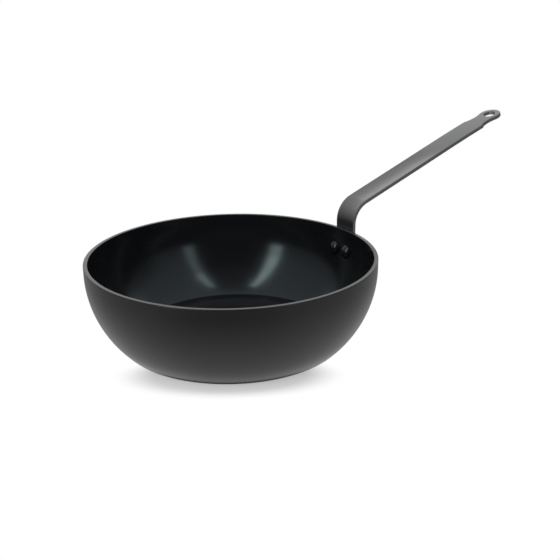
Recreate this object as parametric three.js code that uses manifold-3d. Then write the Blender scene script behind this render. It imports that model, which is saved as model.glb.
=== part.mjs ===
// A deep rounded saute pan: a thick pressed bowl with a strap handle held by two rivets.
// Millimetres, +Z up. The origin is the centre of the underside, and the handle points along +X.

import * as THREE from 'three';
import { mergeVertices } from 'three/addons/utils/BufferGeometryUtils.js';
import Module from 'manifold-3d';

const wasm = await Module();
wasm.setup();

// Bowl
const RIM_RADIUS = 140; // outside of the upright lip
const BODY_HEIGHT = 85; // underside to rim
const LIP_HEIGHT = 9; // upright part of the wall, below the rim
const WALL_FLARE = 33.5; // how far the rim stands outside the edge of the base
const WALL = 4; // thickness at the lip
const FLOOR = 4.5; // thickness of the bottom
const FLOOR_INSET = 6; // from the outside edge of the base in to the edge of the floor
const BASE_ROUND = 8; // radius between wall and underside
const RIM_BREAK = 0.6; // broken edges of the flat rim

// Strap handle
const STRAP_WIDTH = 27;
const STRAP = 4; // thickness
const CORNER_RISE = 24; // above the rim, where the upright and the sloping run would meet
const BEND_RADIUS = 21; // inside of the bend, on the under face
const RUN_ANGLE = THREE.MathUtils.degToRad(19.4); // rise of the run above level
const RUN_LENGTH = 196; // from that corner to the shoulders
const SHOULDER_STEP = 0.9; // notch on each side at the shoulders
const NECK_ARC = 33; // hollow radius of the neck
const EYE_REACH = 25.3; // from the shoulders to the centre of the hanging eye
const EYE_RADIUS = 12.4;
const EYE_HOLE_RADIUS = 6.2;
const DISH_LENGTH = 95; // of the run that is dished across its width, like the wall
const DISH_FADE = 45; // over which the dish then flattens out
const SWEEP_LENGTH = 84; // end of the strap that sweeps gently down
const SWEEP_RADIUS = 1800;

// Rivets and the foot of the strap
const RIVET_DROP = 23; // below the rim
const RIVET_SPACING = 19;
const SHANK_RADIUS = 2;
const HEAD_RADIUS = 7;
const INNER_DOME = 4; // height of the head inside the bowl
const OUTER_DOME = 2.2; // height of the set head outside
const FOOT_MARGIN = 2.5; // of strap round each rivet head
const FOOT_FLARE = 16; // height over which the strap widens into its foot

// Clearances between pieces that touch
const SEAT_GAP = 0.3; // strap to wall
const RIVET_GAP = 0.3; // rivet to wall and strap

// Fineness of the facets
const ROUND_STEPS = 80; // around the bowl
const ARC_STEPS = 10; // along each long arc of a profile
const FILLET_STEPS = 3; // along each small rounding
const RIVET_STEPS = 20; // around a rivet
const DISH_STEPS = 8; // across the strap
const RUN_STEPS = 16; // along the run, from the end of its full dish
const TRIM = 2; // by which a cutting shape passes what it cuts
const MERGE_DISTANCE = 1e-4;

// Wall arcs: each stands upright at the lip and passes through the edge below it.
const LIP_START = BODY_HEIGHT - LIP_HEIGHT;
const BASE_RADIUS = RIM_RADIUS - WALL_FLARE;
const FLOOR_RADIUS = BASE_RADIUS - FLOOR_INSET;
const INNER_RADIUS = RIM_RADIUS - WALL;
const OUTER_ARC = uprightArcRadius(LIP_START, WALL_FLARE);
const INNER_ARC = uprightArcRadius(LIP_START - FLOOR, INNER_RADIUS - FLOOR_RADIUS);
const OUTER_CENTRE = new THREE.Vector2(RIM_RADIUS - OUTER_ARC, LIP_START);
const INNER_CENTRE = new THREE.Vector2(INNER_RADIUS - INNER_ARC, LIP_START);

// Strap line: the middle of the face that lies on the wall and then faces up.
const STRAP_X = RIM_RADIUS + SEAT_GAP;
const CORNER_HEIGHT = BODY_HEIGHT + CORNER_RISE;
const BEND_TURN = Math.PI / 2 - RUN_ANGLE;
const FACE_BEND = BEND_RADIUS + STRAP;
const BEND_TANGENT = FACE_BEND * Math.tan(BEND_TURN / 2);
const BEND_START = CORNER_HEIGHT - BEND_TANGENT;
const EYE_AT = RUN_LENGTH + EYE_REACH;
const TIP_AT = EYE_AT + EYE_RADIUS;
const SWEEP_AT = TIP_AT - SWEEP_LENGTH;

// Rivet axis: square to the wall, through the centre of the outer wall arc.
const RIVET_HEIGHT = BODY_HEIGHT - RIVET_DROP;
const RIVET_TILT = Math.asin((LIP_START - RIVET_HEIGHT) / OUTER_ARC);
const RIVET_RADIUS = OUTER_CENTRE.x + OUTER_ARC * Math.cos(RIVET_TILT);
const RIVET_TURN = Math.asin(RIVET_SPACING / 2 / RIVET_RADIUS);
const FOOT_REACH = HEAD_RADIUS + FOOT_MARGIN;
const FOOT_WIDTH = RIVET_SPACING + 2 * FOOT_REACH;
const FOOT_BOTTOM = RIVET_HEIGHT - FOOT_REACH;

const COATING = new THREE.MeshStandardMaterial({ color: 0x1d1d1e, roughness: 0.42, metalness: 0.0 });
const STRAP_STEEL = new THREE.MeshStandardMaterial({ color: 0x6e6f70, roughness: 0.45, metalness: 0.6 });
const RIVET_METAL = new THREE.MeshStandardMaterial({ color: 0x3c3d3f, roughness: 0.35, metalness: 0.7 });

// Radius of an arc that starts upright and moves sideways by reach over the given drop.
function uprightArcRadius(drop, reach) {
  return (drop * drop + reach * reach) / (2 * reach);
}

// Points of a round arc in a profile plane.
function arcPoints(centre, radius, from, to, steps) {
  return new THREE.EllipseCurve(centre.x, centre.y, radius, radius, from, to, from > to).getPoints(steps);
}

// A closed solid from a geometry: shared corners merged and collapsed triangles dropped.
function toSolid(geometry) {
  const bare = geometry.clone();
  bare.deleteAttribute('normal');
  bare.deleteAttribute('uv');
  const merged = mergeVertices(bare, MERGE_DISTANCE);
  const corners = merged.index.array;
  const kept = [];
  for (let i = 0; i < corners.length; i += 3) {
    const [a, b, c] = corners.slice(i, i + 3);
    if (a !== b && b !== c && c !== a) kept.push(a, b, c);
  }
  const mesh = new wasm.Mesh({
    numProp: 3,
    vertProperties: new Float32Array(merged.getAttribute('position').array),
    triVerts: new Uint32Array(kept),
  });
  return new wasm.Manifold(mesh);
}

// The geometry of a solid, with flat facets.
function toGeometry(solid) {
  const mesh = solid.getMesh();
  const geometry = new THREE.BufferGeometry();
  geometry.setAttribute('position', new THREE.BufferAttribute(mesh.vertProperties, 3));
  geometry.setIndex(new THREE.BufferAttribute(mesh.triVerts, 1));
  geometry.computeVertexNormals();
  return geometry;
}

// A profile of radius and height turned about +Z.
function turned(profile, steps) {
  return new THREE.LatheGeometry(profile, steps).rotateX(Math.PI / 2);
}

// Where a rivet sits: local +Y runs outward along its axis, from the centre of the outer wall arc.
function rivetFrame(side) {
  const around = new THREE.Matrix4().makeRotationZ(side * RIVET_TURN);
  const place = new THREE.Matrix4().makeTranslation(OUTER_CENTRE.x, 0, OUTER_CENTRE.y);
  const tilt = new THREE.Matrix4().makeRotationY(RIVET_TILT);
  const outward = new THREE.Matrix4().makeRotationZ(-Math.PI / 2);
  return around.multiply(place).multiply(tilt).multiply(outward);
}

// The hole for one rivet, through wall and strap.
function rivetHole(side) {
  const from = innerWallOnRivetAxis() - HEAD_RADIUS;
  const to = OUTER_ARC + STRAP + HEAD_RADIUS;
  const radius = SHANK_RADIUS + RIVET_GAP;
  const hole = new THREE.CylinderGeometry(radius, radius, to - from, RIVET_STEPS);
  hole.translate(0, (from + to) / 2, 0);
  return toSolid(hole.applyMatrix4(rivetFrame(side)));
}

// Distance along the rivet axis, from the outer arc's centre, at which it meets the inside of the wall.
function innerWallOnRivetAxis() {
  const shift = OUTER_CENTRE.x - INNER_CENTRE.x;
  const across = shift * Math.sin(RIVET_TILT);
  return Math.sqrt(INNER_ARC * INNER_ARC - across * across) - shift * Math.cos(RIVET_TILT);
}

function panBody() {
  const floorAngle = -Math.asin((LIP_START - FLOOR) / INNER_ARC);
  const roundAngle = -Math.asin((LIP_START - BASE_ROUND) / (OUTER_ARC - BASE_ROUND));
  const roundCentre = new THREE.Vector2(
    OUTER_CENTRE.x + (OUTER_ARC - BASE_ROUND) * Math.cos(roundAngle),
    BASE_ROUND,
  );
  const profile = [
    new THREE.Vector2(0, 0),
    ...arcPoints(roundCentre, BASE_ROUND, -Math.PI / 2, roundAngle, FILLET_STEPS),
    ...arcPoints(OUTER_CENTRE, OUTER_ARC, roundAngle, 0, ARC_STEPS).slice(1),
    new THREE.Vector2(RIM_RADIUS, BODY_HEIGHT - RIM_BREAK),
    new THREE.Vector2(RIM_RADIUS - RIM_BREAK, BODY_HEIGHT),
    new THREE.Vector2(INNER_RADIUS + RIM_BREAK, BODY_HEIGHT),
    new THREE.Vector2(INNER_RADIUS, BODY_HEIGHT - RIM_BREAK),
    ...arcPoints(INNER_CENTRE, INNER_ARC, 0, floorAngle, ARC_STEPS),
    new THREE.Vector2(0, FLOOR),
  ];
  const bowl = toSolid(turned(profile, ROUND_STEPS));
  return toGeometry(bowl.subtract(rivetHole(1)).subtract(rivetHole(-1)));
}

// Stations along the strap line: place, heading above level and share of the dish across the strap.
function strapStations() {
  const seatArc = OUTER_ARC + SEAT_GAP;
  const footAngle = -Math.asin((LIP_START - FOOT_BOTTOM + TRIM) / seatArc);
  const bendCentre = new THREE.Vector2(STRAP_X + FACE_BEND, BEND_START);
  const stations = [];
  const add = (point, heading, dish) => stations.push({ point, heading, dish });
  arcPoints(OUTER_CENTRE, seatArc, footAngle, 0, ARC_STEPS).forEach((point, i) => {
    add(point, Math.PI / 2 + footAngle * (1 - i / ARC_STEPS), 1);
  });
  arcPoints(bendCentre, FACE_BEND, Math.PI, Math.PI - BEND_TURN, ARC_STEPS).forEach((point, i) => {
    add(point, Math.PI / 2 - BEND_TURN * (i / ARC_STEPS), 1);
  });
  const run = TIP_AT + TRIM - DISH_LENGTH;
  for (let i = 0; i <= RUN_STEPS; i += 1) {
    const at = DISH_LENGTH + (run * i) / RUN_STEPS;
    const dish = 1 - THREE.MathUtils.smoothstep(at, DISH_LENGTH, DISH_LENGTH + DISH_FADE);
    add(runPoint(at), RUN_ANGLE - sweepTurn(at), dish);
  }
  return stations;
}

// How far the strap has swept down, as an angle, at a distance along the run.
function sweepTurn(at) {
  return Math.max(0, at - SWEEP_AT) / SWEEP_RADIUS;
}

// A point of the strap line at a distance along the run from the corner.
function runPoint(at) {
  const turn = sweepTurn(at);
  const along = Math.min(at, SWEEP_AT) + SWEEP_RADIUS * Math.sin(turn);
  const drop = SWEEP_RADIUS * (1 - Math.cos(turn));
  return new THREE.Vector2(along, -drop)
    .rotateAround(new THREE.Vector2(), RUN_ANGLE)
    .add(new THREE.Vector2(STRAP_X, CORNER_HEIGHT));
}

// Height of a round of the wall's radius above its middle, at a distance across the strap.
function sag(y) {
  return STRAP_X - Math.sqrt(STRAP_X * STRAP_X - y * y);
}

// The bent strap before its outline is cut: wide enough for the foot, dished to the wall's roundness.
function strapBlank() {
  const half = FOOT_WIDTH / 2 + TRIM;
  const positions = [];
  const stations = strapStations();
  const ring = 2 * (DISH_STEPS + 1);
  for (const { point, heading, dish } of stations) {
    const normal = new THREE.Vector2(-Math.sin(heading), Math.cos(heading));
    for (let k = 0; k < ring; k += 1) {
      const under = k > DISH_STEPS;
      const y = half * (1 - (2 * (under ? ring - 1 - k : k)) / DISH_STEPS);
      const lift = dish * sag(y) + (1 - dish) * sag(STRAP_WIDTH / 2);
      const corner = point.clone().addScaledVector(normal, lift - (under ? STRAP : 0));
      positions.push(corner.x, y, corner.y);
    }
  }
  const faces = [];
  const quad = (a, b, c, d) => faces.push(a, b, c, a, c, d);
  const last = (stations.length - 1) * ring;
  for (let start = 0; start < last; start += ring) {
    for (let k = 0; k < ring; k += 1) {
      const next = (k + 1) % ring;
      quad(start + k, start + next, start + ring + next, start + ring + k);
    }
  }
  for (let k = 0; k < DISH_STEPS; k += 1) {
    const below = ring - 1 - k;
    quad(k + 1, k, below, below - 1);
    quad(last + k, last + k + 1, last + below - 1, last + below);
  }
  const geometry = new THREE.BufferGeometry();
  geometry.setAttribute('position', new THREE.Float32BufferAttribute(positions, 3));
  geometry.setIndex(faces);
  return toSolid(geometry);
}

// A prism of an outline, on the given axes.
function prism(outline, depth, along, across, rise, origin) {
  const settings = { depth, bevelEnabled: false, curveSegments: ARC_STEPS };
  const geometry = new THREE.ExtrudeGeometry(outline, settings);
  const frame = new THREE.Matrix4().makeBasis(along, across, rise).setPosition(origin);
  return toSolid(geometry.applyMatrix4(frame));
}

// Outline of the run from above: straight sides, shoulders, hollow neck and a round eye with its hole.
function runOutline() {
  const half = STRAP_WIDTH / 2;
  const eye = new THREE.Vector2(EYE_AT, 0);
  const shoulder = new THREE.Vector2(RUN_LENGTH, half - SHOULDER_STEP);
  const neck = neckCentre(eye, shoulder);
  const touch = Math.atan2(neck.y, neck.x - eye.x);
  const leave = Math.atan2(shoulder.y - neck.y, shoulder.x - neck.x);
  const shape = new THREE.Shape();
  const start = -BEND_TANGENT - STRAP;
  shape.moveTo(start, -half);
  shape.lineTo(RUN_LENGTH, -half);
  shape.lineTo(shoulder.x, -shoulder.y);
  shape.absarc(neck.x, -neck.y, NECK_ARC, -leave, Math.PI - touch, true);
  shape.absarc(eye.x, eye.y, EYE_RADIUS, -touch, touch, false);
  shape.absarc(neck.x, neck.y, NECK_ARC, touch - Math.PI, leave, true);
  shape.lineTo(RUN_LENGTH, half);
  shape.lineTo(start, half);
  shape.closePath();
  shape.holes.push(new THREE.Path().absarc(eye.x, eye.y, EYE_HOLE_RADIUS, 0, 2 * Math.PI, true));
  return shape;
}

// Centre of the hollow neck arc, which passes through the shoulder and touches the round of the eye.
function neckCentre(eye, shoulder) {
  const span = shoulder.clone().sub(eye);
  const distance = span.length();
  const fromEye = EYE_RADIUS + NECK_ARC;
  const along = (distance * distance + fromEye * fromEye - NECK_ARC * NECK_ARC) / (2 * distance);
  const aside = Math.sqrt(fromEye * fromEye - along * along);
  const unit = span.divideScalar(distance);
  return new THREE.Vector2(unit.x * along + unit.y * aside, unit.y * along - unit.x * aside).add(eye);
}

// Outline of the upright and foot from the side of the handle: it widens into two lobes round the rivets.
function footOutline() {
  const half = STRAP_WIDTH / 2;
  const wide = FOOT_WIDTH / 2;
  const rivet = RIVET_SPACING / 2;
  const flareTop = RIVET_HEIGHT + FOOT_FLARE;
  const flareMiddle = RIVET_HEIGHT + FOOT_FLARE / 2;
  const shape = new THREE.Shape();
  shape.moveTo(-half, BEND_START);
  shape.lineTo(-half, flareTop);
  shape.bezierCurveTo(-half, flareMiddle, -wide, flareMiddle, -wide, RIVET_HEIGHT);
  shape.absarc(-rivet, RIVET_HEIGHT, FOOT_REACH, Math.PI, 1.5 * Math.PI, false);
  shape.absarc(rivet, RIVET_HEIGHT, FOOT_REACH, 1.5 * Math.PI, 2 * Math.PI, false);
  shape.bezierCurveTo(wide, flareMiddle, half, flareMiddle, half, flareTop);
  shape.lineTo(half, BEND_START);
  shape.closePath();
  return shape;
}

function handle() {
  const xAxis = new THREE.Vector3(1, 0, 0);
  const yAxis = new THREE.Vector3(0, 1, 0);
  const zAxis = new THREE.Vector3(0, 0, 1);
  const along = new THREE.Vector3(Math.cos(RUN_ANGLE), 0, Math.sin(RUN_ANGLE));
  const rise = new THREE.Vector3(-Math.sin(RUN_ANGLE), 0, Math.cos(RUN_ANGLE));
  const under = BEND_TANGENT + STRAP;
  const runOrigin = new THREE.Vector3(STRAP_X, 0, CORNER_HEIGHT).addScaledVector(rise, -under);
  const run = prism(runOutline(), under + STRAP, along, yAxis, rise, runOrigin);
  const foot = prism(footOutline(), STRAP_X + FACE_BEND, yAxis, zAxis, xAxis, new THREE.Vector3());
  const cut = strapBlank().intersect(run.add(foot));
  return toGeometry(cut.subtract(rivetHole(1)).subtract(rivetHole(-1)));
}

// A round-headed rivet along +Y: large dome in the bowl, shank, and a flatter set head on the strap.
function rivet() {
  const innerSeat = innerWallOnRivetAxis() - RIVET_GAP - (HEAD_RADIUS * HEAD_RADIUS) / (2 * INNER_ARC);
  const outerSeat = OUTER_ARC + SEAT_GAP + STRAP + RIVET_GAP;
  const profile = [
    ...domeProfile(innerSeat, -INNER_DOME),
    new THREE.Vector2(SHANK_RADIUS, innerSeat),
    new THREE.Vector2(SHANK_RADIUS, outerSeat),
    ...domeProfile(outerSeat, OUTER_DOME).reverse(),
  ];
  return new THREE.LatheGeometry(profile, RIVET_STEPS);
}

// Profile of a shallow round head, from its crown on the axis to its edge at the seat.
function domeProfile(seat, height) {
  const ball = uprightArcRadius(HEAD_RADIUS, Math.abs(height));
  const spread = Math.asin(HEAD_RADIUS / ball);
  const points = [];
  for (let i = 0; i <= FILLET_STEPS; i += 1) {
    const angle = (spread * i) / FILLET_STEPS;
    const level = (ball * (Math.cos(angle) - Math.cos(spread))) * Math.sign(height);
    points.push(new THREE.Vector2(ball * Math.sin(angle), seat + level));
  }
  return points;
}

function named(name, geometry, material) {
  const mesh = new THREE.Mesh(geometry, material);
  mesh.name = name;
  return mesh;
}

const pan = new THREE.Group();
pan.add(named('pan_body', panBody(), COATING));
pan.add(named('handle', handle(), STRAP_STEEL));
for (const [name, side] of [['rivet_left', 1], ['rivet_right', -1]]) {
  const piece = named(name, rivet(), RIVET_METAL);
  piece.applyMatrix4(rivetFrame(side));
  pan.add(piece);
}

export default pan;
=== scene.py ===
"""Looks of a deep rounded saute pan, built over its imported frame.

The pan is a pressed bowl with a baked black coating, and a steel strap handle held by two rivets. The
classes hold their sizes in millimetres, and Blender gets metres. +Z is up, the origin is the centre of
the underside, and the handle points along +X.
"""

import logging
import math
from dataclasses import dataclass
from enum import Enum, IntEnum
from typing import Any

import bmesh
import bpy
import numpy as np
from mathutils import Matrix, Vector


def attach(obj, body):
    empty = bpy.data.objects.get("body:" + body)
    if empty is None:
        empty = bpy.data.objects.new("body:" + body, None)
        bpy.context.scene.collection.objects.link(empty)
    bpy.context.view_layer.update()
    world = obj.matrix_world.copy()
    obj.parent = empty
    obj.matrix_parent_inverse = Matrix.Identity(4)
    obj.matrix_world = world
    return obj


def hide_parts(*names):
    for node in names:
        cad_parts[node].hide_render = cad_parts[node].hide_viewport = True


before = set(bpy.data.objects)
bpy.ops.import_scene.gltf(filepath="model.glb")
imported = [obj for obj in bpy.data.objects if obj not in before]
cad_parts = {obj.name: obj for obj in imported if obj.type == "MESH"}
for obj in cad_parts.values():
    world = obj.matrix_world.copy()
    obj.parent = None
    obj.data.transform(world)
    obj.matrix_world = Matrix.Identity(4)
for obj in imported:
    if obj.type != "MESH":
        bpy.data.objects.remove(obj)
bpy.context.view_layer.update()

Colour = tuple[float, float, float]
Triple = tuple[float, float, float]
Point = tuple[float, float]

BODY = "root"
MM = 0.001
WHITE: Colour = (1.0, 1.0, 1.0)
LOG = logging.getLogger("saute_pan")


def level_way(bearing: float) -> Triple:
    """The level way at a bearing, in degrees round from +X."""
    around = math.radians(bearing)
    return (math.cos(around), math.sin(around), 0.0)


def metres(sizes: Point) -> Point:
    """Two sizes in millimetres, as metres."""
    return (sizes[0] * MM, sizes[1] * MM)


def radians(turns: Point) -> Point:
    """Two angles in degrees, as radians."""
    return (math.radians(turns[0]), math.radians(turns[1]))


@dataclass(frozen=True)
class Noise:
    """A smooth noise: its waves to the metre, its layers of detail and how rough they are."""

    scale: float
    detail: float
    roughness: float = 0.5


class Wire:
    """A node's output, with arithmetic that adds Math nodes to its graph."""

    def __init__(self, graph: "NodeGraph", socket: bpy.types.NodeSocket | None) -> None:
        """Keep an output socket and the graph that it is in."""
        self.graph = graph
        self.socket = socket

    def __add__(self, other: "Wire | float") -> "Wire":
        """Sum of the two."""
        return self.graph.math("ADD", self, other)

    def __radd__(self, other: float) -> "Wire":
        """Sum of a number and this."""
        return self.graph.math("ADD", other, self)

    def __sub__(self, other: "Wire | float") -> "Wire":
        """This less the other."""
        return self.graph.math("SUBTRACT", self, other)

    def __rsub__(self, other: float) -> "Wire":
        """A number less this."""
        return self.graph.math("SUBTRACT", other, self)

    def __mul__(self, other: "Wire | float") -> "Wire":
        """Product of the two."""
        return self.graph.math("MULTIPLY", self, other)

    def __rmul__(self, other: float) -> "Wire":
        """Product of a number and this."""
        return self.graph.math("MULTIPLY", other, self)

    def __truediv__(self, other: "Wire | float") -> "Wire":
        """This divided by the other."""
        return self.graph.math("DIVIDE", self, other)

    def __rtruediv__(self, other: float) -> "Wire":
        """A number divided by this."""
        return self.graph.math("DIVIDE", other, self)

    def __pow__(self, other: "Wire | float") -> "Wire":
        """This raised to the other."""
        return self.graph.math("POWER", self, other)

    def __rpow__(self, other: float) -> "Wire":
        """A number raised to this."""
        return self.graph.math("POWER", other, self)

    def spread(self, ends: Point) -> "Wire":
        """This, from 0 to 1, put between two values."""
        return self * (ends[1] - ends[0]) + ends[0]

    def sway(self, most: float) -> "Wire":
        """This, from 0 to 1, put evenly about zero."""
        return self.spread((-most, most))


class NodeGraph:
    """The nodes of one material or of the world."""

    def __init__(self, tree: bpy.types.NodeTree) -> None:
        """Start from an empty tree."""
        self.tree = tree
        tree.nodes.clear()

    def add(
        self,
        kind: str,
        settings: dict[str, Any] | None = None,
        inputs: dict[str | int, Any] | None = None,
        output: str | int = 0,
    ) -> Wire:
        """Add a node.

        Args:
            kind: the node's type.
            settings: its properties, set first; stops are a ramp's places and grey levels.
            inputs: a value or a wire for each socket, by name or number.
            output: the output to hand back.

        Returns:
            That output, or an empty wire for a node that has none.
        """
        node = self.tree.nodes.new(kind)
        for name, value in (settings or {}).items():
            if name == "stops":
                self._set_stops(node.color_ramp, value)
            else:
                setattr(node, name, value)
        for name, value in (inputs or {}).items():
            if isinstance(value, Wire):
                self.tree.links.new(value.socket, node.inputs[name])
            else:
                node.inputs[name].default_value = value
        return Wire(self, node.outputs[output] if node.outputs else None)

    @staticmethod
    def _set_stops(ramp: bpy.types.ColorRamp, stops: list[Point]) -> None:
        """Give a ramp its grey stops.

        Args:
            ramp: the ramp, which has its two default stops.
            stops: the place and level of each stop, in order.
        """
        for _ in stops[2:]:
            ramp.elements.new(1.0)
        for element, (place, level) in zip(ramp.elements, stops, strict=True):
            element.position = place
            element.color = (level, level, level, 1.0)

    def math(self, operation: str, first: Wire | float, second: Wire | float = 0.0) -> Wire:
        """One Math node on two values."""
        return self.add("ShaderNodeMath", {"operation": operation}, {0: first, 1: second})

    def mix(self, factor: Wire | float, first: Wire | Colour, second: Wire | Colour) -> Wire:
        """Mix two colours.

        Args:
            factor: 0 for the first and 1 for the second.
            first: a colour or a wire with one.
            second: a colour or a wire with one.

        Returns:
            The mixed colour.
        """
        ends = [c if isinstance(c, Wire) else (*c, 1.0) for c in (first, second)]
        inputs = {0: factor, 6: ends[0], 7: ends[1]}
        return self.add("ShaderNodeMix", {"data_type": "RGBA"}, inputs, 2)

    def shade(self, colour: Colour, level: Wire) -> Wire:
        """A colour scaled by a level."""
        inputs = {0: colour, "Scale": level}
        return self.add("ShaderNodeVectorMath", {"operation": "SCALE"}, inputs)

    def noise(self, place: Wire, kind: Noise) -> Wire:
        """A smooth noise from 0 to 1."""
        inputs = {
            "Vector": place,
            "Scale": kind.scale,
            "Detail": kind.detail,
            "Roughness": kind.roughness,
        }
        return self.add("ShaderNodeTexNoise", {}, inputs, "Fac")

    def stretch(self, place: Wire, scale: Triple) -> Wire:
        """A place with each of its axes scaled."""
        return self.add("ShaderNodeVectorMath", {"operation": "MULTIPLY"}, {0: place, 1: scale})

    def place(self) -> Wire:
        """The place on the object, in metres."""
        return self.add("ShaderNodeTexCoord", {}, {}, "Object")

    def radius(self, place: Wire) -> Wire:
        """Distance of a place from the Z axis."""
        level = self.stretch(place, (1.0, 1.0, 0.0))
        return self.add("ShaderNodeVectorMath", {"operation": "LENGTH"}, {0: level}, "Value")

    def along(self, place: Wire, way: Triple) -> Wire:
        """How far a place lies along a way."""
        inputs = {0: place, 1: way}
        return self.add("ShaderNodeVectorMath", {"operation": "DOT_PRODUCT"}, inputs, "Value")

    def turn(self, place: Wire, bearing: float) -> Wire:
        """Angle round +Z between a place and a bearing, from 0 to half a turn, in radians."""
        aside = self.math("ABSOLUTE", self.along(place, level_way(bearing + 90.0)))
        return self.math("ARCTAN2", aside, self.along(place, level_way(bearing)))

    def ramp(self, value: Wire, stops: list[Point]) -> Wire:
        """A value from 0 to 1 through a ramp of grey stops."""
        return self.add("ShaderNodeValToRGB", {"stops": stops}, {0: value})

    def fade(self, value: Wire, start: float, end: float) -> Wire:
        """1 below start, falling smoothly to 0 at end."""
        inputs = {"Value": value, "From Min": start, "From Max": end, "To Min": 1.0, "To Max": 0.0}
        return self.add("ShaderNodeMapRange", {"interpolation_type": "SMOOTHSTEP"}, inputs)

    def bump(self, height: Wire, depth: float, strength: float) -> Wire:
        """A bumped normal.

        Args:
            height: the relief, from 0 to 1.
            depth: what 1 stands for, in millimetres.
            strength: share of the relief that shows.

        Returns:
            The normal.
        """
        inputs = {"Strength": strength, "Distance": depth * MM, "Height": height}
        return self.add("ShaderNodeBump", {}, inputs)

    def light_path(self, output: str) -> Wire:
        """One output of the Light Path node."""
        return self.add("ShaderNodeLightPath", {}, {}, output)

    def mirrored(self) -> Wire:
        """1 for a ray that leaves a glossy or clear surface, and 0 for any other."""
        glossy, clear = self.light_path("Is Glossy Ray"), self.light_path("Is Transmission Ray")
        return self.math("MAXIMUM", glossy, clear)


@dataclass(frozen=True)
class Finish:
    """What a surface is made of."""

    name: str

    def material(self) -> bpy.types.Material:
        """Make the material.

        Returns:
            A material with the finish's nodes alone.
        """
        made = bpy.data.materials.new(self.name)
        made.use_nodes = True
        graph = NodeGraph(made.node_tree)
        graph.add("ShaderNodeOutputMaterial", {}, {"Surface": self.surface(graph)})
        return made

    def surface(self, graph: NodeGraph) -> Wire:
        """Add the finish's nodes to a graph and return its shader."""
        raise NotImplementedError


@dataclass(frozen=True)
class Coating(Finish):
    """A baked black coating: fine peel, faint mottle and fainter turning rings."""

    colour: Colour
    roughness: float
    ior: float = 1.5
    gloss_tint: Colour = WHITE
    peel_depth: float = 0.012
    peel_strength: float = 0.2
    ring_pitch: float = 1.1
    ring_share: float = 0.0
    ring_wander: float = 9.0
    mottle_tone: Point = (0.86, 1.1)
    mottle_rough: float = 0.03
    speck_tone: Point = (0.88, 1.12)
    speck_rough: float = 0.025

    MOTTLE = Noise(70.0, 3.0, 0.6)
    PEEL = Noise(950.0, 2.0)
    SPECK = Noise(2600.0, 1.0)
    WANDER = Noise(26.0, 2.0)

    def surface(self, graph: NodeGraph) -> Wire:
        """Add the coating's nodes.

        Args:
            graph: the material's graph.

        Returns:
            The shader.
        """
        place = graph.place()
        mottle = graph.noise(place, self.MOTTLE)
        peel = graph.noise(place, self.PEEL)
        speck = graph.noise(place, self.SPECK)
        turns = graph.radius(place) * (2.0 * math.pi / (self.ring_pitch * MM))
        wander = graph.noise(place, self.WANDER)
        rings = graph.math("SINE", turns + wander * self.ring_wander) * 0.5 + 0.5
        tone = mottle.spread(self.mottle_tone) * speck.spread(self.speck_tone)
        uneven = mottle.sway(self.mottle_rough) + speck.sway(self.speck_rough)
        rough = uneven + rings.sway(0.5 * self.ring_share) + self.roughness
        relief = peel * (1.0 - self.ring_share) + rings * self.ring_share
        inputs = {
            "Base Color": graph.shade(self.colour, tone),
            "Roughness": rough,
            "IOR": self.ior,
            "Specular Tint": (*self.gloss_tint, 1.0),
            "Normal": graph.bump(relief, self.peel_depth, self.peel_strength),
        }
        return graph.add("ShaderNodeBsdfPrincipled", {}, inputs)


@dataclass(frozen=True)
class StrapSteel(Finish):
    """Grey rolled steel: a fine grain along the strap, soft mottle and small pits, duller at the foot."""

    colour: Colour
    roughness: float
    foot_dulling: float = 0.16
    foot_length: Point = (18.0, 62.0)
    grain_waves: Triple = (30.0, 1300.0, 1300.0)
    grain_tone: Point = (0.96, 1.04)
    grain_rough: float = 0.04
    grain_share: float = 0.6
    mottle_tone: Point = (0.94, 1.05)
    mottle_rough: float = -0.03
    relief_depth: float = 0.006
    relief_strength: float = 0.06

    GRAIN = Noise(1.0, 3.0, 0.6)
    MOTTLE = Noise(75.0, 4.0, 0.6)
    PITS = Noise(1500.0, 2.0)

    def surface(self, graph: NodeGraph) -> Wire:
        """Add the steel's nodes.

        Args:
            graph: the material's graph.

        Returns:
            The shader.
        """
        place = graph.add("ShaderNodeAttribute", {"attribute_name": StrapHandle.FLAT}, {}, "Vector")
        grain = graph.noise(graph.stretch(place, self.grain_waves), self.GRAIN)
        mottle = graph.noise(place, self.MOTTLE)
        pits = graph.noise(place, self.PITS)
        tone = mottle.spread(self.mottle_tone) * grain.spread(self.grain_tone)
        uneven = mottle.sway(self.mottle_rough) + grain.sway(self.grain_rough)
        foot = graph.fade(graph.along(place, (1.0, 0.0, 0.0)), *metres(self.foot_length))
        relief = grain * self.grain_share + pits * (1.0 - self.grain_share)
        inputs = {
            "Base Color": graph.shade(self.colour, tone),
            "Metallic": 1.0,
            "Roughness": uneven + foot * self.foot_dulling + self.roughness,
            "Normal": graph.bump(relief, self.relief_depth, self.relief_strength),
        }
        return graph.add("ShaderNodeBsdfPrincipled", {}, inputs)


@dataclass(frozen=True)
class RivetMetal(Finish):
    """Bare metal of a set rivet head, dull from the hammer."""

    colour: Colour
    roughness: float
    dint_tone: Point = (0.8, 1.15)
    dint_depth: float = 0.05
    dint_strength: float = 0.35
    dust_rough: float = 0.08

    DINTS = Noise(420.0, 2.0)
    DUST = Noise(2400.0, 2.0)

    def surface(self, graph: NodeGraph) -> Wire:
        """Add the metal's nodes.

        Args:
            graph: the material's graph.

        Returns:
            The shader.
        """
        place = graph.place()
        dints = graph.noise(place, self.DINTS)
        dust = graph.noise(place, self.DUST)
        inputs = {
            "Base Color": graph.shade(self.colour, dints.spread(self.dint_tone)),
            "Metallic": 1.0,
            "Roughness": dust.sway(self.dust_rough) + self.roughness,
            "Normal": graph.bump(dints, self.dint_depth, self.dint_strength),
        }
        return graph.add("ShaderNodeBsdfPrincipled", {}, inputs)


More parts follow.
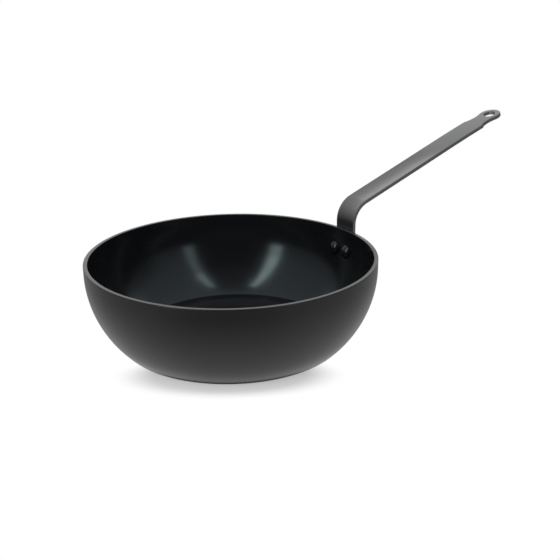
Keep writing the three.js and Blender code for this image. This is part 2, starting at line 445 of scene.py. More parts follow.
class Face(IntEnum):
    """Stretches of the bowl's surface, as material numbers."""

    OUTSIDE = 0
    RIM = 1
    INSIDE = 2
    UNDERSIDE = 3


class Metal(IntEnum):
    """Parts of a rivet, as material numbers."""

    COATED = 0
    BARE = 1


class Side(Enum):
    """The two sides of the handle's middle, with the sign of Y there."""

    LEFT = 1
    RIGHT = -1


def arc(centre: Point, radius: float, start: float, end: float, steps: int) -> list[Point]:
    """Points along a round arc.

    Args:
        centre: its centre.
        radius: its radius.
        start: the angle that it starts at, in radians.
        end: the angle that it ends at.
        steps: how many steps it takes.

    Returns:
        The points, both ends among them.
    """
    turns = [start + (end - start) * i / steps for i in range(steps + 1)]
    return [(centre[0] + radius * math.cos(t), centre[1] + radius * math.sin(t)) for t in turns]


def upright_arc(drop: float, reach: float) -> float:
    """Radius of an arc that starts upright and moves sideways by reach over a drop."""
    return (drop * drop + reach * reach) / (2.0 * reach)


def put(name: str, data: bpy.types.ID) -> bpy.types.Object:
    """Put an object into the scene.

    Args:
        name: the object's name.
        data: its mesh, curve, camera or lamp.

    Returns:
        The object.
    """
    made = bpy.data.objects.new(name, data)
    bpy.context.scene.collection.objects.link(made)
    return made


def new_piece(name: str, mesh: bpy.types.Mesh) -> bpy.types.Object:
    """Put a mesh into the scene as an object with smooth shading."""
    mesh.shade_smooth()
    return put(name, mesh)


def flatten(piece: bpy.types.Object) -> None:
    """Put an object's modifiers into its mesh.

    Args:
        piece: the object, which gets a new mesh.
    """
    graph = bpy.context.evaluated_depsgraph_get()
    made = bpy.data.meshes.new_from_object(piece.evaluated_get(graph))
    spent = piece.data
    piece.modifiers.clear()
    piece.data = made
    bpy.data.meshes.remove(spent)


def even_normals(piece: bpy.types.Object, weight: int = 60) -> None:
    """Hold the shading of broad faces flat up to their rounded edges.

    Args:
        piece: the object, which gets a new mesh.
        weight: how the faces are weighed: 50 is neutral, and above it broad faces count for more.
    """
    weighted = piece.modifiers.new("even_normals", "WEIGHTED_NORMAL")
    weighted.mode = "FACE_AREA"
    weighted.weight = weight
    flatten(piece)


@dataclass
class Turning:
    """A profile of radius and height turned about +Z, each stretch of it with a material number."""

    around: int
    points: list[Point]
    kinds: list[int]

    def mesh(self, name: str) -> bpy.types.Mesh:
        """Turn the profile.

        Args:
            name: the mesh's name.

        Returns:
            A closed mesh in metres.
        """
        turns = [2.0 * math.pi * i / self.around for i in range(self.around)]
        corners: list[Triple] = []
        rings: list[list[int]] = []
        for radius, height in self.points:
            spokes = turns if radius > 0.0 else turns[:1]
            first = len(corners)
            reach = radius * MM
            corners += [(reach * math.cos(t), reach * math.sin(t), height * MM) for t in spokes]
            ring = list(range(first, len(corners)))
            rings.append(ring * (self.around // len(ring)))
        faces: list[list[int]] = []
        kinds: list[int] = []
        for low, high, kind in zip(rings[:-1], rings[1:], self.kinds, strict=True):
            for i in range(self.around):
                after = (i + 1) % self.around
                quad = [low[i], low[after], high[after], high[i]]
                faces.append(list(dict.fromkeys(quad)))
                kinds.append(kind)
        mesh = bpy.data.meshes.new(name)
        mesh.from_pydata(corners, [], faces)
        mesh.polygons.foreach_set("material_index", kinds)
        return mesh


@dataclass
class Bowl:
    """The pressed bowl: flat floor, hollow wall, upright lip and flat rim."""

    rim_radius: float = 140.0
    height: float = 85.0
    lip_height: float = 9.0
    wall_flare: float = 33.5
    wall: float = 4.0
    floor: float = 4.5
    floor_inset: float = 6.0
    base_round: float = 8.0
    rim_round_outside: float = 0.8
    rim_round_inside: float = 0.6
    floor_fillet: float = 1.6
    around: int = 288
    flat_steps: int = 12
    base_steps: int = 10
    wall_steps: int = 34
    lip_steps: int = 6
    hem_steps: int = 5
    crease_steps: int = 5

    NODE = "pan_body"
    OUTSIDE = Coating("coating_outside", (0.0060, 0.0060, 0.0062), 0.30, ior=1.6)
    RIM = Coating("coating_rim", (0.0070, 0.0070, 0.0072), 0.24, ior=1.68, peel_strength=0.12)
    INSIDE = Coating(
        "coating_inside",
        (0.0070, 0.0071, 0.0079),
        0.17,
        ior=1.6,
        gloss_tint=(0.74, 0.91, 1.0),
        peel_strength=0.12,
    )
    UNDERSIDE = Coating("coating_underside", (0.0070, 0.0070, 0.0071), 0.36, ring_share=0.25)

    def __post_init__(self) -> None:
        """Work out the arcs of the wall."""
        self.lip_start = self.height - self.lip_height
        self.inner_radius = self.rim_radius - self.wall
        floor_radius = self.rim_radius - self.wall_flare - self.floor_inset
        self.outer_arc = upright_arc(self.lip_start, self.wall_flare)
        self.inner_arc = upright_arc(self.lip_start - self.floor, self.inner_radius - floor_radius)
        self.outer_centre = (self.rim_radius - self.outer_arc, self.lip_start)
        self.inner_centre = (self.inner_radius - self.inner_arc, self.lip_start)

    def _fillet(self, centre: Point, radius: float, level: float) -> tuple[Point, float]:
        """Fit a fillet between a wall arc, on the side of its centre, and a level face below it.

        Args:
            centre: the arc's centre.
            radius: the arc's radius less the fillet's.
            level: the height of the fillet's centre.

        Returns:
            The fillet's centre, and the angle at which it meets the arc.
        """
        angle = -math.asin((centre[1] - level) / radius)
        return (centre[0] + radius * math.cos(angle), level), angle

    def turning(self) -> Turning:
        """Draw the bowl's profile.

        Returns:
            The profile, from the middle of the underside round to the middle of the floor.
        """
        up, down = 0.5 * math.pi, -0.5 * math.pi
        heel, crease = self.base_round, self.floor_fillet
        lip, hem = self.rim_round_outside, self.rim_round_inside
        base, base_turn = self._fillet(self.outer_centre, self.outer_arc - heel, heel)
        foot, foot_turn = self._fillet(self.inner_centre, self.inner_arc - crease, self.floor + crease)
        lip_centre = (self.rim_radius - lip, self.height - lip)
        hem_centre = (self.inner_radius + hem, self.height - hem)
        shares = [i / self.flat_steps for i in range(self.flat_steps)]
        stretches = [
            (Face.UNDERSIDE, [(base[0] * share, 0.0) for share in shares]),
            (Face.UNDERSIDE, arc(base, heel, down, base_turn, self.base_steps)),
            (Face.OUTSIDE, arc(self.outer_centre, self.outer_arc, base_turn, 0.0, self.wall_steps)[1:]),
            (Face.OUTSIDE, arc(lip_centre, lip, 0.0, up, self.lip_steps)),
            (Face.RIM, arc(hem_centre, hem, up, math.pi, self.hem_steps)),
            (Face.INSIDE, arc(self.inner_centre, self.inner_arc, 0.0, foot_turn, self.wall_steps)),
            (Face.INSIDE, arc(foot, crease, foot_turn, down, self.crease_steps)[1:]),
            (Face.INSIDE, [(foot[0] * share, self.floor) for share in shares[::-1]]),
        ]
        points = [point for _, stretch in stretches for point in stretch]
        kinds = [int(face) for face, stretch in stretches for _ in stretch][1:]
        return Turning(self.around, points, kinds)

    def build(self, holes: list[bpy.types.Object]) -> bpy.types.Object:
        """Make the bowl.

        Args:
            holes: solids to cut out of it, which are used up.

        Returns:
            The bowl, dressed and riding on its body.
        """
        piece = new_piece("bowl", self.turning().mesh("bowl"))
        for finish in (self.OUTSIDE, self.RIM, self.INSIDE, self.UNDERSIDE):
            piece.data.materials.append(finish.material())
        for hole in holes:
            cut = piece.modifiers.new("rivet_hole", "BOOLEAN")
            cut.operation = "DIFFERENCE"
            cut.solver = "EXACT"
            cut.object = hole
        flatten(piece)
        for hole in holes:
            bpy.data.meshes.remove(hole.data)
        even_normals(piece)
        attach(piece, BODY)
        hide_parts(self.NODE)
        return piece


@dataclass
class Rivet:
    """A round-headed rivet through wall and strap, with a low set head outside."""

    bowl: Bowl
    strap: float
    side: Side
    drop: float = 23.0
    spacing: float = 19.0
    shank_radius: float = 2.0
    head_radius: float = 7.0
    inner_dome: float = 4.0
    outer_dome: float = 2.2
    edge_round: float = 0.45
    seat_gap: float = 0.3
    rivet_gap: float = 0.3
    around: int = 64
    crown_steps: int = 12
    edge_steps: int = 6

    INNER = Coating("rivet_coating", (0.0060, 0.0060, 0.0062), 0.19, ior=1.6, peel_strength=0.1)
    OUTER = RivetMetal("rivet_bare", (0.50, 0.50, 0.49), 0.36)

    def __post_init__(self) -> None:
        """Work out where the rivet's axis stands."""
        bowl = self.bowl
        self.height = bowl.height - self.drop
        self.tilt = math.asin((bowl.lip_start - self.height) / bowl.outer_arc)
        reach = bowl.outer_centre[0] + bowl.outer_arc * math.cos(self.tilt)
        self.turn = self.side.value * math.asin(0.5 * self.spacing / reach)

    def frame(self) -> Matrix:
        """Work out where the rivet sits.

        Returns:
            Its place in metres, with the centre of the outer wall arc at zero and +Z outward.
        """
        centre = self.bowl.outer_centre
        around = Matrix.Rotation(self.turn, 4, "Z")
        place = Matrix.Translation(Vector((centre[0], 0.0, centre[1])) * MM)
        return around @ place @ Matrix.Rotation(self.tilt + 0.5 * math.pi, 4, "Y")

    def inner_wall(self) -> float:
        """Find the inside of the wall.

        Returns:
            The distance along the rivet's axis at which it meets the wall there.
        """
        shift = self.bowl.outer_centre[0] - self.bowl.inner_centre[0]
        across = shift * math.sin(self.tilt)
        return math.sqrt(self.bowl.inner_arc**2 - across**2) - shift * math.cos(self.tilt)

    def _dome(self, seat: float, rise: float) -> list[Point]:
        """Profile of a head, from its crown to the edge of its seat.

        Args:
            seat: where its flat face is, along the axis.
            rise: height of the crown above that, negative where it faces inward.

        Returns:
            Radius and place along the axis of each point.
        """
        ball = upright_arc(self.head_radius, abs(rise))
        edge = self.edge_round
        spread = math.asin((self.head_radius - edge) / (ball - edge))
        drop = (ball - edge) * math.cos(spread) - edge
        sign = math.copysign(1.0, rise)
        up = 0.5 * math.pi
        crown = arc((0.0, -drop), ball, up, up - spread, self.crown_steps)
        rim = arc((self.head_radius - edge, edge), edge, up - spread, -up, self.edge_steps)
        points = [(0.0, crown[0][1]), *crown[1:], *rim[1:]]
        return [(radius, seat + sign * rise_here) for radius, rise_here in points]

    def turning(self) -> Turning:
        """Draw the rivet's profile.

        Returns:
            The profile along its axis, from the inner crown to the outer one.
        """
        bowl = self.bowl
        dip = self.head_radius**2 / (2.0 * bowl.inner_arc)
        inner_seat = self.inner_wall() - self.rivet_gap - dip
        outer_seat = bowl.outer_arc + self.seat_gap + self.strap + self.rivet_gap
        inner = self._dome(inner_seat, -self.inner_dome)
        outer = self._dome(outer_seat, self.outer_dome)[::-1]
        shank = [(self.shank_radius, inner_seat), (self.shank_radius, outer_seat)]
        kinds = [int(Metal.COATED)] * len(inner) + [int(Metal.BARE)] * (len(outer) + 1)
        return Turning(self.around, inner + shank + outer, kinds)

    def hole(self) -> bpy.types.Object:
        """Make a solid for the hole through wall and strap.

        Returns:
            The solid, which goes well past both faces.
        """
        radius = self.shank_radius + self.rivet_gap
        low = self.inner_wall() - self.head_radius
        high = self.bowl.outer_arc + self.strap + self.head_radius
        points = [(0.0, low), (radius, low), (radius, high), (0.0, high)]
        mesh = Turning(self.around, points, [0, 0, 0]).mesh("rivet_hole")
        mesh.transform(self.frame())
        return new_piece("rivet_hole", mesh)

    def build(self) -> bpy.types.Object:
        """Make the rivet.

        Returns:
            The rivet, dressed and riding on its body.
        """
        name = f"rivet_{self.side.name.lower()}"
        mesh = self.turning().mesh(name)
        mesh.transform(self.frame())
        piece = new_piece(f"{name}_head", mesh)
        for finish in (self.INNER, self.OUTER):
            mesh.materials.append(finish.material())
        even_normals(piece)
        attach(piece, BODY)
        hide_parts(name)
        return piece


@dataclass
class StrapHandle:
    """The strap handle: foot on the wall, bend, rising run, hollow neck and hanging eye."""

    bowl: Bowl
    width: float = 27.0
    strap: float = 4.0
    edge_round: float = 0.95
    corner_rise: float = 24.0
    bend_radius: float = 21.0
    run_angle: float = math.radians(19.4)
    run_length: float = 196.0
    shoulder_step: float = 0.9
    neck_arc: float = 33.0
    eye_reach: float = 25.3
    eye_radius: float = 12.4
    eye_hole_radius: float = 6.2
    dish_length: float = 95.0
    dish_fade: float = 45.0
    sweep_length: float = 84.0
    sweep_radius: float = 1800.0
    foot_margin: float = 2.5
    foot_flare: float = 16.0
    seat_gap: float = 0.3
    bend_step: float = 1.5
    run_step: float = 6.0
    across_step: float = 2.25
    weld: float = 0.001
    lobe_steps: int = 12
    flare_steps: int = 14
    neck_steps: int = 18
    eye_steps: int = 14
    eye_hole_steps: int = 40
    rivet_hole_steps: int = 16
    edge_steps: int = 3

    NODE = "handle"
    FLAT = "strap_flat"
    STEEL = StrapSteel("strap_steel", (0.274, 0.276, 0.276), 0.20)

    def __post_init__(self) -> None:
        """Work out the strap line, along the face that lies on the wall and then faces up."""
        bowl = self.bowl
        self.face_x = bowl.rim_radius + self.seat_gap
        self.seat_arc = bowl.outer_arc + self.seat_gap
        self.corner = (self.face_x, bowl.height + self.corner_rise)
        self.bend_turn = 0.5 * math.pi - self.run_angle
        self.face_bend = self.bend_radius + self.strap
        self.bend_tangent = self.face_bend * math.tan(0.5 * self.bend_turn)
        self.bend_start = self.corner[1] - self.bend_tangent
        self.bend_at = self.bend_start - bowl.lip_start
        self.run_at = self.bend_at + self.face_bend * self.bend_turn
        self.eye_at = self.run_length + self.eye_reach
        self.sweep_at = self.eye_at + self.eye_radius - self.sweep_length

    def on_wall(self, height: float) -> float:
        """Distance along the strap line, from the start of the lip, of a height on the foot or upright."""
        drop = self.bowl.lip_start - height
        return -self.seat_arc * math.asin(drop / self.seat_arc) if drop > 0.0 else -drop

    def on_run(self, along: float) -> float:
        """Distance along the strap line of a distance along the run from its corner."""
        return self.run_at + along - self.bend_tangent

    def outline(self, rivet: Rivet) -> list[Point]:
        """Outline of the flat strap.

        Args:
            rivet: one of the rivets that the foot's lobes go round.

        Returns:
            Its points, along and across, round once.
        """
        half = 0.5 * self.width
        reach = rivet.head_radius + self.foot_margin
        lobe = 0.5 * rivet.spacing
        wide = lobe + reach
        middle = rivet.height + 0.5 * self.foot_flare
        top = rivet.height + self.foot_flare
        poles = [(wide, rivet.height), (wide, middle), (half, middle), (half, top)]
        flare = self._curve(poles, self.flare_steps)
        round_foot = arc((lobe, rivet.height), reach, -0.5 * math.pi, 0.0, self.lobe_steps)
        foot = [(self.on_wall(z), y) for y, z in round_foot + flare[1:]]
        shoulder = (self.run_length, half - self.shoulder_step)
        neck, leave, touch = self._neck(shoulder)
        hollow = arc(neck, self.neck_arc, leave, touch - math.pi, self.neck_steps)
        eye = arc((self.eye_at, 0.0), self.eye_radius, touch, 0.0, self.eye_steps)
        run = [(self.run_length, half), *hollow, *eye[1:]]
        one_side = foot + [(self.on_run(x), y) for x, y in run]
        return one_side + [(s, -y) for s, y in one_side[-2::-1]]

    @staticmethod
    def _curve(poles: list[Point], steps: int) -> list[Point]:
        """Points along a cubic curve.

        Args:
            poles: its four poles.
            steps: how many steps it takes.

        Returns:
            The points, both ends among them.
        """
        shares = [i / steps for i in range(steps + 1)]
        weights = [((1 - t) ** 3, 3 * t * (1 - t) ** 2, 3 * t * t * (1 - t), t**3) for t in shares]
        return [tuple(sum(w * p[k] for w, p in zip(row, poles)) for k in (0, 1)) for row in weights]

    def _neck(self, shoulder: Point) -> tuple[Point, float, float]:
        """Fit the hollow neck, which passes through the shoulder and touches the round of the eye.

        Args:
            shoulder: where the neck starts.

        Returns:
            Its centre, its angle at the shoulder, and the angle round the eye where the two touch.
        """
        eye = np.array((self.eye_at, 0.0))
        span = np.array(shoulder) - eye
        distance = float(np.linalg.norm(span))
        reach = self.eye_radius + self.neck_arc
        along = (distance**2 + reach**2 - self.neck_arc**2) / (2.0 * distance)
        aside = math.sqrt(reach**2 - along**2)
        unit = span / distance
        centre = eye + unit * along + np.array((unit[1], -unit[0])) * aside
        leave = math.atan2(shoulder[1] - centre[1], shoulder[0] - centre[0])
        touch = math.atan2(centre[1], centre[0] - eye[0])
        return (float(centre[0]), float(centre[1])), leave, touch

    def holes(self, rivet: Rivet) -> list[list[Point]]:
        """Outlines of the holes in the flat strap.

        Args:
            rivet: one of the rivets.

        Returns:
            The points round the eye's hole and each rivet hole.
        """
        turn = 2.0 * math.pi
        size = rivet.shank_radius + rivet.rivet_gap
        low, aside = self.on_wall(rivet.height), 0.5 * rivet.spacing
        eye = arc((self.on_run(self.eye_at), 0.0), self.eye_hole_radius, 0.0, turn, self.eye_hole_steps)
        rivets = [arc((low, side.value * aside), size, 0.0, turn, self.rivet_hole_steps) for side in Side]
        return [loop[:-1] for loop in (eye, *rivets)]

    def flat_mesh(self, loops: list[list[Point]]) -> bpy.types.Mesh:
        """The flat strap as a plate with rounded edges, still in millimetres.

        Args:
            loops: its outline and its holes.

        Returns:
            The plate, with its middle plane at zero height.
        """
        pattern = bpy.data.curves.new("strap_pattern", "CURVE")
        pattern.dimensions = "2D"
        pattern.fill_mode = "BOTH"
        pattern.extrude = 0.5 * self.strap - self.edge_round
        pattern.bevel_depth = self.edge_round
        pattern.bevel_resolution = self.edge_steps
        pattern.offset = -self.edge_round
        for loop in loops:
            spline = pattern.splines.new("POLY")
            spline.points.add(len(loop) - 1)
            spline.points.foreach_set("co", [value for x, y in loop for value in (x, y, 0.0, 1.0)])
            spline.use_cyclic_u = True
        blank = put("strap_pattern", pattern)
        graph = bpy.context.evaluated_depsgraph_get()
        mesh = bpy.data.meshes.new_from_object(blank.evaluated_get(graph))
        bpy.data.curves.remove(pattern)
        return mesh

    def _slice(self, mesh: bpy.types.Mesh) -> None:
        """Cut the flat plate across and along, finely enough to bend.

        Args:
            mesh: the plate in millimetres, which is changed.
        """
        ends = self.on_wall(0.5 * self.bowl.height), self.on_run(self.eye_at + self.eye_radius)
        fine = np.arange(ends[0], self.run_at, self.bend_step)
        coarse = np.arange(self.run_at, ends[1], self.run_step)
        lines = [((s, 0.0, 0.0), (1.0, 0.0, 0.0)) for s in (*fine, *coarse)]
        across = np.arange(-self.width, self.width, self.across_step)
        lines += [((0.0, y, 0.0), (0.0, 1.0, 0.0)) for y in across]
        edit = bmesh.new()
        edit.from_mesh(mesh)
        bmesh.ops.remove_doubles(edit, verts=edit.verts, dist=self.weld)
        for point, normal in lines:
            everything = edit.verts[:] + edit.edges[:] + edit.faces[:]
            bmesh.ops.bisect_plane(edit, geom=everything, dist=self.weld, plane_co=point, plane_no=normal)
        bmesh.ops.recalc_face_normals(edit, faces=edit.faces)
        edit.to_mesh(mesh)
        edit.free()

    def _line(self, along: np.ndarray) -> tuple[np.ndarray, np.ndarray, np.ndarray]:
        """The strap line.

        Args:
            along: distances along it from the start of the lip.

        Returns:
            Its points, its headings above level, and its places along the run, which are less than the
            bend's end where it isn't on the run.
        """
        bowl = self.bowl
        climb = along / self.seat_arc
        foot = np.stack([np.cos(climb), np.sin(climb)], 1) * self.seat_arc + bowl.outer_centre
        upright = np.stack([np.full_like(along, self.face_x), bowl.lip_start + along], 1)
        turn = (along - self.bend_at) / self.face_bend
        centre = (self.face_x + self.face_bend, self.bend_start)
        bend = np.stack([-np.cos(turn), np.sin(turn)], 1) * self.face_bend + centre
        at = along - self.run_at + self.bend_tangent
        sweep = np.maximum(at - self.sweep_at, 0.0) / self.sweep_radius
        level = np.minimum(at, self.sweep_at) + self.sweep_radius * np.sin(sweep)
        drop = self.sweep_radius * (1.0 - np.cos(sweep))
        cos, sin = math.cos(self.run_angle), math.sin(self.run_angle)
        run = np.stack([level * cos + drop * sin, level * sin - drop * cos], 1) + self.corner
        parts = [along < 0.0, along < self.bend_at, along < self.run_at]
        quarter = np.full_like(along, 0.5 * math.pi)
        heading = np.select(parts, [quarter + climb, quarter, quarter - turn], self.run_angle - sweep)
        points = np.select([part[:, None] for part in parts], [foot, upright, bend], run)
        return points, heading, at

    def bent(self, flat: np.ndarray) -> np.ndarray:
        """Bend and dish points of the flat strap.

        Args:
            flat: points along, across and through the flat strap.

        Returns:
            The same points on the handle.
        """
        along, across, through = flat.T
        points, heading, at = self._line(along)
        share = np.clip((at - self.dish_length) / self.dish_fade, 0.0, 1.0)
        dish = 1.0 - share * share * (3.0 - 2.0 * share)
        sag = self.face_x - np.sqrt(self.face_x**2 - across**2)
        level = self.face_x - math.sqrt(self.face_x**2 - 0.25 * self.width**2)
        lift = dish * sag + (1.0 - dish) * level + through - 0.5 * self.strap
        x = points[:, 0] - np.sin(heading) * lift
        z = points[:, 1] + np.cos(heading) * lift
        return np.stack([x, across, z], 1)

    def build(self, rivet: Rivet) -> bpy.types.Object:
        """Make the handle.

        Args:
            rivet: one of its two rivets.

        Returns:
            The handle, dressed and riding on its body.
        """
        mesh = self.flat_mesh([self.outline(rivet), *self.holes(rivet)])
        self._slice(mesh)
        flat = np.empty(len(mesh.vertices) * 3)
        mesh.vertices.foreach_get("co", flat)
        bent = self.bent(flat.reshape(-1, 3))
        mesh.vertices.foreach_set("co", (bent * MM).ravel())
        kept = mesh.attributes.new(self.FLAT, "FLOAT_VECTOR", "POINT")
        kept.data.foreach_set("vector", flat * MM)
        mesh.materials.clear()
        mesh.materials.append(self.STEEL.material())
        piece = new_piece("strap_handle", mesh)
        even_normals(piece)
        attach(piece, BODY)
        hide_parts(self.NODE)
        return piece


@dataclass
class PhotoCamera:
    """The camera at the photograph's viewing angle: degrees, and metres from its aim."""

    azimuth: float = -35.349
    elevation: float = 20.516
    roll: float = -0.474
    distance: float = 0.8501
    aim: Triple = (0.03257, -0.03386, 0.06159)
    lens: float = 57.0
    sensor: float = 36.0
    nearest: float = 0.01

    def build(self) -> bpy.types.Object:
        """Make the camera and hand the scene over to it.

        Returns:
            The camera.
        """
        lens = bpy.data.cameras.new("photo_camera")
        lens.lens = self.lens
        lens.sensor_width = self.sensor
        lens.clip_start = self.nearest
        made = put("photo_camera", lens)
        around, up = radians((self.azimuth, self.elevation))
        away = Vector((math.sin(around) * math.cos(up), -math.cos(around) * math.cos(up), math.sin(up)))
        facing = away.to_track_quat("Z", "Y").to_matrix().to_4x4()
        turned = facing @ Matrix.Rotation(math.radians(self.roll), 4, "Z")
        made.matrix_world = Matrix.Translation(Vector(self.aim) + away * self.distance) @ turned
        bpy.context.scene.camera = made
        return made


# The bearing that the camera looks along, in degrees round from +X.
LOOK = 90.0 + PhotoCamera.azimuth


@dataclass(frozen=True)
class StudioFloor(Finish):
    """A white floor: it keeps the shadow of the pan, and shines less away from the pan.

    The shadow is an oval before the pan, a halo moved back from its middle, and a ring where the base
    touches. A reach is the stretch of distances from the middle over which something fades, in
    millimetres, and a turn is the stretch of angles from the camera's side, in degrees.
    """

    look: float = LOOK
    colour: Colour = (0.86, 0.86, 0.86)
    shadow_ahead: float = 88.0
    shadow_size: Point = (107.0, 47.0)
    shadow_core: float = 0.6
    shadow_share: float = 0.6
    halo_back: float = 30.0
    halo_reach: Point = (90.0, 124.0)
    touch_reach: Point = (97.0, 106.0)
    shine_near: float = 0.61
    shine_far: float = 0.26
    shine_radius: float = 150.0
    shine_fade: float = 150.0
    front_loss: float = 0.41
    front_turn: Point = (12.0, 52.0)
    front_reach: Point = (110.0, 300.0)
    base_gain: float = 0.2
    base_reach: Point = (108.0, 121.0)
    contact_loss: float = 0.88
    contact_turn: Point = (25.0, 55.0)
    contact_reach: Point = (108.0, 110.0)

    def _shadow(self, graph: NodeGraph, place: Wire) -> Wire:
        """Shade the floor: a soft oval before the pan, a halo behind it, and close round its base.

        Args:
            graph: the floor's graph.
            place: the place on the floor.

        Returns:
            How strong the shadow is, from 0 to 1.
        """
        wide, deep = metres(self.shadow_size)
        across = graph.along(place, level_way(self.look + 90.0)) / wide
        ahead = (graph.along(place, level_way(self.look + 180.0)) - self.shadow_ahead * MM) / deep
        oval = graph.fade((across * across + ahead * ahead) ** 0.5, self.shadow_core, 1.0)
        centre = tuple(self.halo_back * MM * c for c in level_way(self.look))
        moved = graph.add("ShaderNodeVectorMath", {"operation": "SUBTRACT"}, {0: place, 1: centre})
        halo = graph.fade(graph.radius(moved), *metres(self.halo_reach))
        touch = graph.fade(graph.radius(place), *metres(self.touch_reach))
        return graph.math("MAXIMUM", oval, graph.math("MAXIMUM", halo, touch)) * self.shadow_share

    def _shine(self, graph: NodeGraph, place: Wire) -> Wire:
        """Light the floor where the pan mirrors it, with less at the front and along the base there.

        Args:
            graph: the floor's graph.
            place: the place on the floor.

        Returns:
            How bright the floor is.
        """
        out = graph.radius(place)
        away = graph.math("MAXIMUM", out - self.shine_radius * MM, 0.0)
        rise = math.e ** (away / (-self.shine_fade * MM))
        base = graph.fade(out, *metres(self.base_reach))
        level = rise * (self.shine_near - self.shine_far) + self.shine_far + base * self.base_gain
        turn = graph.turn(place, self.look + 180.0)
        far = graph.fade(turn, *radians(self.front_turn))
        far = far * (1.0 - graph.fade(out, *metres(self.front_reach)))
        contact = graph.fade(turn, *radians(self.contact_turn))
        contact = contact * graph.fade(out, *metres(self.contact_reach))
        return level * (1.0 - far * self.front_loss) * (1.0 - contact * self.contact_loss)

    def surface(self, graph: NodeGraph) -> Wire:
        """Add the floor's nodes.

        Args:
            graph: the material's graph.

        Returns:
            The shader.
        """
        place = graph.place()
        seen, mirrored = graph.light_path("Is Camera Ray"), graph.mirrored()
        shine = graph.shade(WHITE, self._shine(graph, place))
        glow = graph.mix(mirrored, WHITE, shine)
        matt = graph.add("ShaderNodeBsdfDiffuse", {}, {"Color": (*self.colour, 1.0)})
        bright = graph.add("ShaderNodeEmission", {}, {"Color": glow, "Strength": 1.0})
        share = graph.math("MAXIMUM", mirrored, seen * (1.0 - self._shadow(graph, place)))
        return graph.add("ShaderNodeMixShader", {}, {0: share, 1: matt, 2: bright})


@dataclass(frozen=True)
class Lamp:
    """A soft rectangular lamp: its place and size in metres, the way it faces and its brightness."""

    name: str
    place: Triple
    facing: Triple
    size: Point
    level: float
    tint: Colour = WHITE
    mirrored: bool = True

    WALL_MIDDLE = 0.05
    STRIP_TINT = (0.95, 1.0, 0.92)

    @classmethod
    def strip(cls, name: str, bearing: float, rises: Point, width: float, level: float) -> "Lamp":
        """An upright strip a metre from the pan's middle, which faces it.

        Args:
            name: the lamp's name.
            bearing: its direction from the pan, in degrees round from +X.
            rises: how high its ends stand above the middle of the wall, in degrees.
            width: its width.
            level: its brightness.

        Returns:
            The lamp.
        """
        low, high = (cls.WALL_MIDDLE + math.tan(rise) for rise in radians(rises))
        out, back = level_way(bearing), level_way(bearing + 180.0)
        place = (out[0], out[1], 0.5 * (low + high))
        return cls(name, place, back, (width, high - low), level, cls.STRIP_TINT)

    def build(self) -> bpy.types.Object:
        """Make the lamp.

        Returns:
            The lamp.
        """
        lamp = bpy.data.lights.new(self.name, "AREA")
        lamp.shape = "RECTANGLE"
        lamp.size, lamp.size_y = self.size
        lamp.energy = self.level * math.pi * self.size[0] * self.size[1]
        lamp.color = self.tint
        made = put(self.name, lamp)
        made.location = self.place
        made.rotation_euler = Vector(self.facing).to_track_quat("-Z", "Y").to_euler()
        made.visible_glossy = self.mirrored
        return made


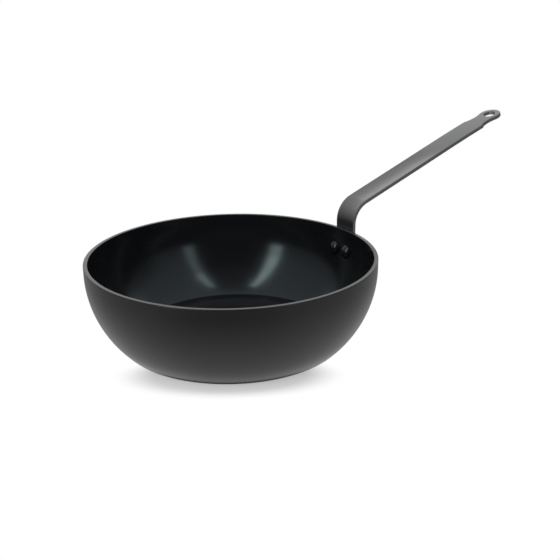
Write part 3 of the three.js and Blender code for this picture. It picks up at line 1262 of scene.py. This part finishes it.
@dataclass
class Studio:
    """White floor and surroundings, a soft lamp overhead and tall strips on each side of the camera.

    The surroundings are dark behind the camera, grey at its sides and white behind the pan up to the top
    of the backdrop. Each of the three is a list of degrees above level and brightness there. Low down on
    the right they are dimmer. A turn is the stretch of angles from the way that the camera looks, in
    degrees, over which one gives way to the next.
    """

    look: float = LOOK
    floor_size: float = 14.0
    floor_drop: float = 0.1
    ambient: float = 0.65
    back_turn: Point = (30.0, 78.0)
    front_turn: Point = (130.0, 154.0)
    dim_side: Point = (0.5, 0.85)
    dim_turn: Point = (88.0, 112.0)
    dim_rise: Point = (12.0, 36.0)
    dim_loss: float = 0.75

    FLOOR = StudioFloor("studio_floor")
    FRONT = [
        (20.0, 0.025),
        (40.0, 0.03),
        (50.0, 0.08),
        (60.0, 0.10),
        (70.0, 0.16),
        (76.0, 0.25),
        (82.0, 0.44),
        (90.0, 0.5),
    ]
    SIDES = [
        (0.0, 0.07),
        (5.0, 0.10),
        (10.0, 0.16),
        (15.0, 0.22),
        (20.0, 0.26),
        (30.0, 0.33),
        (50.0, 0.40),
        (90.0, 0.52),
    ]
    BACK = [(32.5, 1.0), (37.0, 0.52), (60.0, 0.50), (70.0, 0.55), (90.0, 0.5)]
    LAMPS = [
        Lamp("lamp_overhead", (0.0, 0.0, 2.0), (0.0, 0.0, -1.0), (2.4, 2.4), 0.6, mirrored=False),
        Lamp.strip("strip_left_low", 195.0, (12.0, 28.0), 0.20, 2.6),
        Lamp.strip("strip_left_high", 195.0, (28.0, 71.0), 0.20, 3.9),
        Lamp.strip("strip_right_low", 278.5, (11.0, 50.0), 0.16, 1.12),
        Lamp.strip("strip_right_high", 279.5, (50.0, 70.5), 0.16, 2.9),
    ]

    def floor(self) -> bpy.types.Object:
        """Lay the floor, just below the base, so that the two faces don't share a plane.

        Returns:
            The floor.
        """
        half, level = 0.5 * self.floor_size, -self.floor_drop * MM
        mesh = bpy.data.meshes.new("studio_floor")
        sides = ((-half, -half), (half, -half), (half, half), (-half, half))
        corners = [(x, y, level) for x, y in sides]
        mesh.from_pydata(corners, [], [(0, 1, 2, 3)])
        mesh.materials.append(self.FLOOR.material())
        made = new_piece("studio_floor", mesh)
        return made

    def _glow(self, graph: NodeGraph) -> Wire:
        """Light the surroundings where the pan mirrors them.

        Args:
            graph: the world's graph.

        Returns:
            How bright they are.
        """
        way = graph.add("ShaderNodeTexCoord", {}, {}, "Generated")
        up = graph.along(way, (0.0, 0.0, 1.0))
        turn = graph.turn(way, self.look)
        front, sides, back = (
            graph.ramp(up, [(math.sin(math.radians(rise)), level) for rise, level in levels])
            for levels in (self.FRONT, self.SIDES, self.BACK)
        )
        behind = graph.fade(turn, *radians(self.back_turn))
        before = 1.0 - graph.fade(turn, *radians(self.front_turn))
        level = sides * (1.0 - behind - before) + back * behind + front * before
        right = 1.0 - graph.fade(graph.along(way, level_way(self.look - 90.0)), *self.dim_side)
        right = right * graph.fade(turn, *radians(self.dim_turn))
        low = graph.fade(up, *(math.sin(rise) for rise in radians(self.dim_rise)))
        return level * (1.0 - right * low * self.dim_loss)

    def backdrop(self) -> None:
        """Light the world: white to the camera, even on matt surfaces, and the glow in mirroring ones."""
        world = bpy.data.worlds.new("studio")
        world.use_nodes = True
        graph = NodeGraph(world.node_tree)
        glow = graph.shade(WHITE, self._glow(graph))
        level = graph.mix(graph.mirrored(), (self.ambient,) * 3, glow)
        seen = graph.mix(graph.light_path("Is Camera Ray"), level, WHITE)
        shell = graph.add("ShaderNodeBackground", {}, {"Color": seen, "Strength": 1.0})
        graph.add("ShaderNodeOutputWorld", {}, {"Surface": shell})
        bpy.context.scene.world = world

    def build(self) -> None:
        """Set up the floor, the backdrop and the lamps."""
        self.floor()
        self.backdrop()
        for lamp in self.LAMPS:
            lamp.build()
        bpy.context.scene.view_settings.view_transform = "Standard"


def report(piece: bpy.types.Object) -> None:
    """Log a piece's name, its size and its faces."""
    size = ", ".join(f"{side / MM:.1f}" for side in piece.dimensions)
    LOG.info("%s: %s mm, %d faces", piece.name, size, len(piece.data.polygons))


def main() -> None:
    """Build the pan, the studio and the camera."""
    logging.basicConfig(level=logging.INFO, format="%(name)s: %(message)s")
    PhotoCamera().build()
    bowl = Bowl()
    handle = StrapHandle(bowl)
    rivets = [Rivet(bowl, handle.strap, side) for side in Side]
    report(bowl.build([rivet.hole() for rivet in rivets]))
    report(handle.build(rivets[0]))
    for rivet in rivets:
        report(rivet.build())
    Studio().build()


if __name__ == "__main__":
    main()
